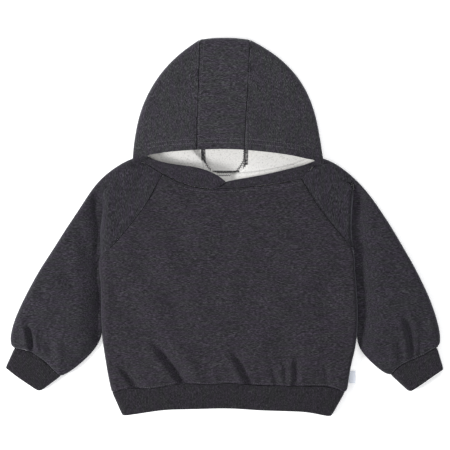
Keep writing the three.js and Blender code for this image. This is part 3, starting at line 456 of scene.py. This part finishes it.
def settled(piece, creases=(), roll=0.7, seed=1, seam_depth=0.6, pucker=0.25, folds=(), pulls=()):
    """Lays a piece's cloth: creases and rolling on what faces up, and its sewn edges drawn in.

    All is in millimetres. folds lie on the inside of its lower layer. Each pull draws the cloth
    near a point sideways: the point's x and y, its reach, and how far it draws along X and Y."""
    mesh = piece.data
    count = len(mesh.vertices)
    place = np.empty(count * 3)
    normal = np.empty(count * 3)
    mesh.vertices.foreach_get("co", place)
    mesh.vertices.foreach_get("normal", normal)
    place = place.reshape(-1, 3) * 1000
    normal = normal.reshape(-1, 3)
    outside = np.ones(count)
    edge_points = set()
    for face in mesh.polygons:
        if face.material_index == 1:
            for index in face.vertices:
                outside[index] = -1
        elif face.material_index == 2:
            edge_points.update(face.vertices)
    tree = KDTree(len(edge_points))
    for index in edge_points:
        tree.insert(Vector(place[index]), index)
    tree.balance()
    away = np.array([tree.find(Vector(point))[2] for point in place])
    x, y, z = place.T.copy()
    outward = normal * outside[:, None]
    up = np.clip(outward[:, 2] / 0.5, 0, 1)
    up = up * up * (3 - 2 * up)
    free = edge_share + (1 - edge_share) * (1 - np.exp(-(away / edge_calm) ** 2))
    lift = (creased(x, y, creases) + roll * uneven(x, y, seed, roll_length)) * up * free
    within = np.clip(normal[:, 2] / 0.5, 0, 1) * (outside < 0) * (z < 1000 * upper_layer)
    doubled = folded(x, y, folds) * within
    lift += doubled
    draw = seam_depth * np.exp(-(away / seam_width) ** 2)
    gathered = pucker * uneven(x, y, seed + 50, pucker_length) * up
    gathered *= np.exp(-((away - pucker_at) / pucker_at) ** 2)
    place[:, 2] += lift + gathered
    place -= outward * draw[:, None]
    for pull_x, pull_y, reach, along_x, along_y in pulls:
        near = np.exp(-((x - pull_x) ** 2 + (y - pull_y) ** 2) / reach ** 2)
        place[:, 0] += along_x * near
        place[:, 1] += along_y * near
    # The upper layer doesn't sink into the lower one
    lowest = np.where(outside > 0, lowest_outside, lowest_inside)
    held_up = np.maximum(place[:, 2], np.minimum(z, lowest))
    place[:, 2] = np.where((up > 0.5) & (z > 4), held_up, place[:, 2])
    place[:, 2] = np.maximum(place[:, 2], 0.05)
    mesh.vertices.foreach_set("co", (place / 1000).ravel())
    # Inside, each seam's allowance is bound with dark overlock stitching
    for face in mesh.polygons:
        if face.material_index == 1 and max(away[index] for index in face.vertices) < allowance:
            if doubled[face.vertices[0]] < 0.5:
                face.material_index = 3
    mesh.update()


def finished(piece, node):
    """Hides the node's part of the model and attaches the piece to the root."""
    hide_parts(node)
    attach(piece, "root")


front = cloth_from("front_body", 3, (fleece_across, terry, cut_edge, seam_allowance))
settled(front, [
    (-91, -150, -46, -211, 4.4, -5.5),
    (-104, -148, -62, -208, 7, 3.0),
    (-74, -140, -28, -204, 8, 2.2),
    (11, -160, 37, -212, 3.8, -4.2),
    (1, -162, 26, -211, 5, 2.2),
    (-135, -179, -109, -214, 4.2, -3.8),
    (-144, -174, -121, -211, 6, 1.8),
    (59, -176, 69, -212, 3.5, -2.8),
    (77, -172, 79, -208, 3, -2.8),
    (92, -166, 89, -212, 3.8, -4.4),
    (84, -166, 83, -210, 5, 1.6),
    (-14, -178, -11, -211, 4, 1.6),
    (128, -174, 133, -212, 4, -2.2),
    (-159, 20, -157, -205, 6, 1.5),
    (162, 10, 163, -205, 6, 1.5),
    (-60, 20, 70, 36, 18, 1.0),
    (-130, -20, -60, -60, 16, 1.2),
    (118, -66, 142, -124, 18, -3.0),
    (140, -30, 90, -90, 16, 1.2),
    (-20, -60, -80, -130, 20, 1.0),
], seed=3, roll=1.2, pulls=[(-160, -46, 17, -2.2, 0), (168, -40, 15, 1.3, 0)])
finished(front, "front_body")

# Back of the body: the same fleece, lying on the surface, in one panel up to the back neck. Inside,
# the hood's sides fold over its seam where they turn to the front.
inner_folds = [(-4.0, 61.8, -80.0, 146.8, 5, 60), (85.0, 135.8, 9.1, 62.9, 6, 60)]
back = cloth_from("back_body", 2, (fleece_across, terry, cut_edge, seam_allowance), lies_on_face=True)
settled(back, seed=4, roll=0.0, folds=inner_folds,
        pulls=[(-160, -46, 15, 0.5, 0), (168, -40, 15, -0.1, 0),
               (-160, -110, 55, 0.9, 0), (172, -110, 55, -0.9, 0)])
finished(back, "back_body")

# Sleeves: each one raglan-cut panel from the neck to the cuff, folded along its outer side and laid
# down beside the body, which half hides it behind a deep fold from shoulder to underarm. The streaks
# of the yarn run across it below that fold, and down it on the raglan part.
sleeve_tint = (0.97, 1.0, 1.0)
fleece_right_sleeve = fleece_material("fleece_right_sleeve", (165, 740, 600), tint=sleeve_tint,
                                      turned_from=-0.161, turned_to=-0.155)
fleece_left_sleeve = fleece_material("fleece_left_sleeve", (165, 740, 600), tint=sleeve_tint,
                                     turned_from=0.169, turned_to=0.163)
right_sleeve = cloth_from("right_sleeve", 3, (fleece_right_sleeve, terry, cut_edge, seam_allowance))
settled(right_sleeve, [
    (-164, 44, -164, -60, 6.5, -3.4),
    (-164, -30, -162, -165, 6.5, -3.2),
    (-172, 54, -160, 8, 6, -2.4),
    (-150, 40, -152, -10, 7, 1.4),
    (-196, 20, -176, -40, 9, -2.0),
    (-214, -40, -190, -90, 10, -1.8),
    (-250, -80, -226, -120, 10, 1.6),
    (-252, -126, -247, -164, 3.2, -4.6),
    (-258, -128, -254, -160, 4, 2.4),
    (-245, -130, -241, -160, 4, 2.2),
    (-262, -112, -258, -150, 5, 1.6),
    (-228, -140, -222, -172, 6, -2.4),
    (-212, -150, -214, -182, 6, 1.8),
], seed=5, roll=1.0, folds=inner_folds, pulls=[(-164, -47, 18, 2.6, 0)])
finished(right_sleeve, "right_sleeve")

left_sleeve = cloth_from("left_sleeve", 3, (fleece_left_sleeve, terry, cut_edge, seam_allowance))
settled(left_sleeve, [
    (171, 52, 175, -60, 7, -3.8),
    (175, -30, 172, -165, 7, -3.6),
    (176, 58, 168, 10, 6, -2.4),
    (158, 44, 160, -6, 7, 1.4),
    (200, 18, 182, -40, 9, -2.0),
    (220, -44, 196, -96, 10, -1.8),
    (252, -80, 232, -122, 10, 1.6),
    (232, -114, 243, -172, 4.2, -4.8),
    (223, -114, 234, -170, 5, 2.4),
    (242, -112, 251, -164, 4.5, 2.4),
    (251, -142, 250, -168, 3.2, -3.6),
    (266, -116, 262, -148, 5, 1.6),
    (226, -142, 228, -174, 6, -2.4),
    (214, -150, 218, -180, 6, 1.8),
], seed=6, roll=1.0, folds=inner_folds, pulls=[(171, -38, 16, -1.8, 0), (102, 66, 9, -0.9, 0.9)])
finished(left_sleeve, "left_sleeve")

# Hood: two side panels and a centre strip over the head, unlined. Its brim is hemmed with two rows of
# stitching, and its lower front edges cross over at the centre front. The streaks of the yarn run down
# its sides and across its strip.
# The sides take the body's fleece in a lighter tint: painted light where the raised hood catches more
# light
fleece_down = fleece_material("fleece_hood_sides", (720, 240, 560), tint=(1.28, 1.37, 1.26))
tree = fleece_down.node_tree
shader = tree.nodes["Principled BSDF"]
axes = tree.nodes.new("ShaderNodeSeparateXYZ")
place = next(node for node in tree.nodes if node.type == "TEX_COORD")
tree.links.new(place.outputs["Object"], axes.inputs["Vector"])
# Below the brim the colour is darkened: painted shade where the brim shades the crossed lower edges
away = remapped(tree, axes.outputs["Y"], 0.084, 0.098, 1.0, 0.0)
plain = shader.inputs["Base Color"].links[0].from_socket
tree.links.new(mixed(tree, away, plain, (0.72, 0.67, 0.75, 1), "MULTIPLY"), shader.inputs["Base Color"])

hood_right = cloth_from("hood_right_side", 3, (fleece_down, terry, cut_edge, seam_allowance))
settled(hood_right, [
    (-96, 110, -50, 132, 12, 0.6),
    (-92, 150, -52, 200, 14, -0.6),
], seed=7, seam_depth=0.4, folds=inner_folds)
finished(hood_right, "hood_right_side")

hood_left = cloth_from("hood_left_side", 3, (fleece_down, terry, cut_edge, seam_allowance))
settled(hood_left, [
    (92, 108, 50, 130, 12, 0.6),
    (88, 150, 52, 200, 14, -0.6),
], seed=8, seam_depth=0.4, folds=inner_folds, pulls=[(101, 66, 9, 0.6, -1.4)])
finished(hood_left, "hood_left_side")

# The strip's tint is lighter than the body's too: painted light on the raised hood
fleece_strip = fleece_material("fleece_hood_strip", (170, 740, 600), tint=(1.34, 1.42, 1.32))
hood_strip = cloth_from("hood_centre", 3, (fleece_strip, terry, cut_edge, seam_allowance))
settled(hood_strip, seed=9, seam_depth=0.35, folds=inner_folds)
finished(hood_strip, "hood_centre")


# Waistband and cuffs: rib knit in the same melange yarn, cut twice as deep as it shows and folded
# at its end, so that it is double. It is stretched a little as it is sewn on, which gathers the
# fleece above it.
rib_dark = (0.0028, 0.0025, 0.0034)
rib_mid = (0.0172, 0.0152, 0.0200)
rib_light = (0.056, 0.052, 0.063)
rib_width = 0.0019


def rib_material(name, turn, tint=1.0):
    """Rib knit: low ridges along the band's depth. turn is the band's angle to X."""
    material = fleece_material(name, (520, 260, 520), turn)
    tree = material.node_tree
    shader = tree.nodes["Principled BSDF"]
    yarn = next(node for node in tree.nodes if node.type == "GROUP")
    for label, value in [("Dark", rib_dark), ("Middle", rib_mid), ("Light", rib_light)]:
        yarn.inputs[label].default_value = (*[channel * tint for channel in value], 1)
    place = next(node for node in tree.nodes if node.type == "TEX_COORD")
    turned = tree.nodes.new("ShaderNodeMapping")
    turned.inputs["Rotation"].default_value = (0, 0, turn)
    tree.links.new(place.outputs["Object"], turned.inputs["Vector"])
    ridges = tree.nodes.new("ShaderNodeTexWave")
    ridges.bands_direction = "X"
    ridges.inputs["Scale"].default_value = math.pi / (10 * rib_width)
    ridges.inputs["Distortion"].default_value = 0.6
    ridges.inputs["Detail"].default_value = 1.0
    tree.links.new(turned.outputs["Vector"], ridges.inputs["Vector"])
    bump = next(node for node in tree.nodes if node.type == "BUMP")
    height = combined(tree, "ADD", combined(tree, "MULTIPLY", ridges.outputs["Fac"], 0.9),
                      combined(tree, "MULTIPLY", yarn.outputs["Height"], 0.5))
    tree.links.new(height, bump.inputs["Height"])
    # Between the ridges the colour darkens towards the dark yarn: painted shade in the valleys of the rib
    crest = remapped(tree, ridges.outputs["Fac"], 0.0, 0.7, 0.45, 1.0)
    tree.links.new(mixed(tree, crest, (*rib_dark, 1), yarn.outputs["Color"]), shader.inputs["Base Color"])
    return material


# The waistband and the cuffs are tinted apart, darkest on the right cuff and lightest on the left:
# painted shade and light on pieces of one knit
band_rib = rib_material("rib_waistband", 0, tint=0.84)
waistband = cloth_from("waistband", 3, (band_rib, band_rib, cut_edge, cut_edge))
settled(waistband, seed=10, roll=0.15, pucker=0.35)
finished(waistband, "waistband")

right_rib = rib_material("rib_right_cuff", 0.59, tint=0.76)
right_cuff = cloth_from("right_cuff", 3, (right_rib, right_rib, cut_edge, cut_edge))
settled(right_cuff, seed=11, roll=0.12, pucker=0.3)
finished(right_cuff, "right_cuff")

left_rib = rib_material("rib_left_cuff", -0.56, tint=1.02)
left_cuff = cloth_from("left_cuff", 3, (left_rib, left_rib, cut_edge, cut_edge))
settled(left_cuff, seed=12, roll=0.12, pucker=0.3)
finished(left_cuff, "left_cuff")

# Sewing: grey thread a little lighter than the cloth. Rows of topstitching hold down the neck seam,
# the hood's strip, the waistband and the cuffs, and two rows close the hem of the hood's brim.


def thread_material(name, dark, light):
    """Twisted sewing thread, in the two tones of its strands."""
    material = bpy.data.materials.new(name)
    material.use_nodes = True
    tree = material.node_tree
    shader = tree.nodes["Principled BSDF"]
    place = tree.nodes.new("ShaderNodeTexCoord")
    twist = noise(tree, place.outputs["Object"], 1500, 2.0, 0.5)
    ply = remapped(tree, twist, 0.35, 0.65)
    tree.links.new(mixed(tree, ply, dark, light), shader.inputs["Base Color"])
    bump = tree.nodes.new("ShaderNodeBump")
    bump.inputs["Strength"].default_value = 0.6
    bump.inputs["Distance"].default_value = 0.0002
    tree.links.new(twist, bump.inputs["Height"])
    tree.links.new(bump.outputs["Normal"], shader.inputs["Normal"])
    shader.inputs["Roughness"].default_value = 0.6
    return material


grey_thread = thread_material("topstitch_thread", (0.045, 0.042, 0.05, 1), (0.11, 0.105, 0.12, 1))
dark_thread = thread_material("overlock_thread", (0.012, 0.011, 0.013, 1), (0.035, 0.033, 0.037, 1))
stitch_pitch = 0.0027
stitch_long = 0.0021
thread_thick = 0.00042
cloth_pieces = [front, back, right_sleeve, left_sleeve, hood_right, hood_left, hood_strip, waistband,
                right_cuff, left_cuff]
cloth_trees = []
for piece in cloth_pieces:
    points = [vert.co for vert in piece.data.vertices]
    faces = [tuple(face.vertices) for face in piece.data.polygons]
    cloth_trees.append(BVHTree.FromPolygons(points, faces))


def met(x, y, start, down=True):
    """Where a line dropped, or raised, through a place first meets the cloth."""
    first = Vector((x, y, start))
    way = Vector((0, 0, -1 if down else 1))
    best = None
    for tree in cloth_trees:
        spot, normal, _, distance = tree.ray_cast(first, way, 0.08)
        if spot is not None and (best is None or distance < best[2]):
            best = (spot, normal, distance)
    return best


def evenly(line, step):
    """Places a step apart along a line given in millimetres, in metres."""
    corners = [Vector((x / 1000, y / 1000)) for x, y in line]
    places = []
    left_over = 0.0
    for first, last in zip(corners, corners[1:]):
        length = (last - first).length
        at = left_over
        while at < length:
            places.append(first.lerp(last, at / length))
            at += step
        left_over = at - length
    return places


# A ball whose poles are turned to its ends makes a stitch
upright = Matrix.Rotation(math.pi / 2, 3, "Y")


def sewing(name, lines, start=0.06, down=True, pitch=stitch_pitch, long=stitch_long, thick=thread_thick,
           material=grey_thread, slant=0.0, steepest=0.6):
    """Rows of single stitches along lines in millimetres, laid on the cloth that they first meet.

    start is the height that they are dropped or raised from. Stitches lean by slant, one way and
    the other by turns, and are left out where the cloth is steeper than steepest."""
    bm = bmesh.new()
    for line in lines:
        places = evenly(line, pitch)
        for number, (here, after) in enumerate(zip(places, places[1:])):
            spot = met(here.x, here.y, start, down)
            ahead = met(after.x, after.y, start, down)
            if spot is None or ahead is None or abs(spot[0].z - ahead[0].z) > steepest * pitch:
                continue
            along = (ahead[0] - spot[0]).normalized()
            normal = spot[1] if spot[1].z * (1 if down else -1) > 0 else -spot[1]
            across = normal.cross(along).normalized()
            normal = along.cross(across)
            turn = Matrix((along, across, normal)).transposed()
            turn = turn @ Matrix.Rotation(slant * (1 if number % 2 else -1), 3, "Z")
            middle = (spot[0] + ahead[0]) / 2 + normal * thick * 0.15
            size = Matrix.Diagonal((long / 2, thick / 2 * 1.2, thick / 2))
            form = (turn @ size @ upright).to_4x4()
            bmesh.ops.create_uvsphere(bm, u_segments=5, v_segments=4, radius=1,
                                      matrix=Matrix.Translation(middle) @ form)
    for face in bm.faces:
        face.smooth = True
    mesh = bpy.data.meshes.new(name)
    bm.to_mesh(mesh)
    bm.free()
    mesh.materials.append(material)
    piece = bpy.data.objects.new(name, mesh)
    scene.collection.objects.link(piece)
    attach(piece, "root")


def shifted(line, dx, dy):
    return [(x + dx, y + dy) for x, y in line]


neck_row = [(-72.2, 60.5), (-62.4, 54.4), (-45.1, 48.8), (-27.7, 46.2), (-6, 45.7), (12.3, 46.2),
            (32.5, 48.3), (52, 49.4), (71.5, 51.7), (87.1, 54.6), (96.9, 58.5)]
brim_edge = [(-98.8, 92.4), (-88.7, 94.6), (-71.5, 96.7), (-49.4, 98), (-32.5, 98.9), (0, 99.8),
             (28.6, 98.9), (43.6, 97.2), (61.1, 95.4), (78, 93.3), (95.8, 90.2), (107.1, 88.1)]
strip_seams = [[(-35.8, 102.4), (-35.9, 140.1), (-34.1, 170.5), (-32.2, 197.3), (-29.2, 240)],
               [(24.7, 99.8), (24.7, 140.1), (28.1, 170.5), (28.1, 202.5), (29.9, 238)]]
band_seam = [(-145.4, -210.9), (-137.8, -210.4), (-126.9, -206.6), (-116.1, -205.4), (-102.2, -207.7),
             (-89.2, -206.6), (-76.3, -204.4), (-65.5, -201.7), (-53.7, -200.1), (-33.1, -201.7),
             (-19.1, -202.8), (-11.7, -200.5), (5.2, -200.1), (28.6, -200.5), (41.6, -203.4),
             (106.6, -203.9), (136.9, -204.9), (147.7, -209.2), (153.1, -213.5)]
right_cuff_seam = [(-212, -192), (-218.5, -186), (-231.5, -173), (-247, -162.5), (-254, -158.3),
                   (-270, -155.7)]
left_cuff_seam = [(215.5, -190.5), (219.5, -184.5), (227, -178), (237.5, -172.5), (255.5, -165),
                  (273, -154.6)]

sewing("neck_topstitch", [neck_row])
sewing("brim_hem_stitches", [shifted(brim_edge, 0, 8.6), shifted(brim_edge, 0, 13.8)])
sewing("strip_topstitch", [shifted(line, 3.2, 0) for line in strip_seams])
sewing("waistband_topstitch", [shifted(band_seam, 0, 1.7)])
sewing("cuff_topstitch", [shifted(right_cuff_seam, 1.0, 1.5), shifted(left_cuff_seam, -0.95, 1.5)])

# The same rows on the underside
sewing("underside_topstitch", [
    [(-25.0, 110), (-25.5, 160), (-26.5, 200), (-26, 236)],
    [(29.5, 110), (30, 160), (30, 200), (31, 234)],
    shifted(band_seam, 0, 1.7),
    shifted(right_cuff_seam, 1.0, 1.5),
    shifted(left_cuff_seam, -0.95, 1.5),
], start=-0.02, down=False)

# Overlocking over the seam allowances inside the hood and at the back of the neck
sewing("hood_inner_overlock", [
    [(-18, 74), (-23.5, 81), (-28.2, 90), (-28.6, 128)],
    [(16, 73), (21.5, 80), (25.5, 88), (26.2, 128)],
], start=0.012, pitch=0.0014, long=0.0046, thick=0.0008, material=dark_thread, slant=0.95, steepest=1.6)
sewing("neck_inner_overlock", [[(-11, 70.8), (11, 71.2)], [(-9, 67), (8, 67.4)]], start=0.012,
       pitch=0.0014, long=0.0034, thick=0.0007, material=dark_thread, slant=0.9)

# Side label: a short loop of plain white satin ribbon with woven edges, folded double and caught in
# the left side seam. Its free end lifts a little, more at one corner.
label_length = 0.0084
label_width = 0.0160
label_at = Vector((0.1605, -0.1935, 0.0074))
label_rows = 8
weft_width = 0.0005
ribbon_thick = 0.00022
fold = 0.00045            # radius of the fold at its end

bm = bmesh.new()
turns = [math.radians(angle) for angle in range(-90, 91, 30)]
profile = [(0, -fold * 0.6), (label_length * 0.35, -fold * 0.9), (label_length * 0.7, -fold)]
profile += [(label_length - fold + fold * math.cos(turn), fold * math.sin(turn)) for turn in turns]
profile += [(label_length * 0.7, fold * 1.3), (label_length * 0.35, fold * 1.2), (0, fold * 0.6)]
points = [bm.verts.new((x, -label_width / 2, z)) for x, z in profile]
edges = [bm.edges.new(pair) for pair in zip(points, points[1:])]
for _ in range(label_rows):
    made = bmesh.ops.extrude_edge_only(bm, edges=edges)["geom"]
    edges = [item for item in made if isinstance(item, bmesh.types.BMEdge)
             and all(vert in made for vert in item.verts)]
    moved = [item for item in made if isinstance(item, bmesh.types.BMVert)]
    bmesh.ops.translate(bm, verts=moved, vec=(0, label_width / label_rows, 0))
bmesh.ops.recalc_face_normals(bm, faces=bm.faces)
for vert in bm.verts:
    vert.co.z += 0.5 * (vert.co.x / label_length) ** 2 * (0.0006 + 0.04 * vert.co.y)
    vert.co += label_at
for face in bm.faces:
    face.smooth = True
label_mesh = bpy.data.meshes.new("label_loop")
bm.to_mesh(label_mesh)
bm.free()

ribbon = bpy.data.materials.new("label_ribbon")
ribbon.use_nodes = True
tree = ribbon.node_tree
shader = tree.nodes["Principled BSDF"]
place = tree.nodes.new("ShaderNodeTexCoord")
weft = tree.nodes.new("ShaderNodeTexWave")
weft.bands_direction = "Y"
weft.inputs["Scale"].default_value = math.pi / (10 * weft_width)
weft.inputs["Distortion"].default_value = 0.4
tree.links.new(place.outputs["Object"], weft.inputs["Vector"])
satin = mixed(tree, weft.outputs["Fac"], (0.58, 0.62, 0.70, 1), (0.74, 0.77, 0.82, 1))
tree.links.new(satin, shader.inputs["Base Color"])
bump = tree.nodes.new("ShaderNodeBump")
bump.inputs["Strength"].default_value = 0.4
bump.inputs["Distance"].default_value = 0.0001
tree.links.new(weft.outputs["Fac"], bump.inputs["Height"])
tree.links.new(bump.outputs["Normal"], shader.inputs["Normal"])
shader.inputs["Roughness"].default_value = 0.38
label_mesh.materials.append(ribbon)
label = bpy.data.objects.new("label_loop", label_mesh)
scene.collection.objects.link(label)
thickness = label.modifiers.new("ribbon", "SOLIDIFY")
thickness.thickness = ribbon_thick
thickness.offset = 0
smooth = label.modifiers.new("smooth", "SUBSURF")
smooth.levels = smooth.render_levels = 1
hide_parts("side_label")
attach(label, "root")
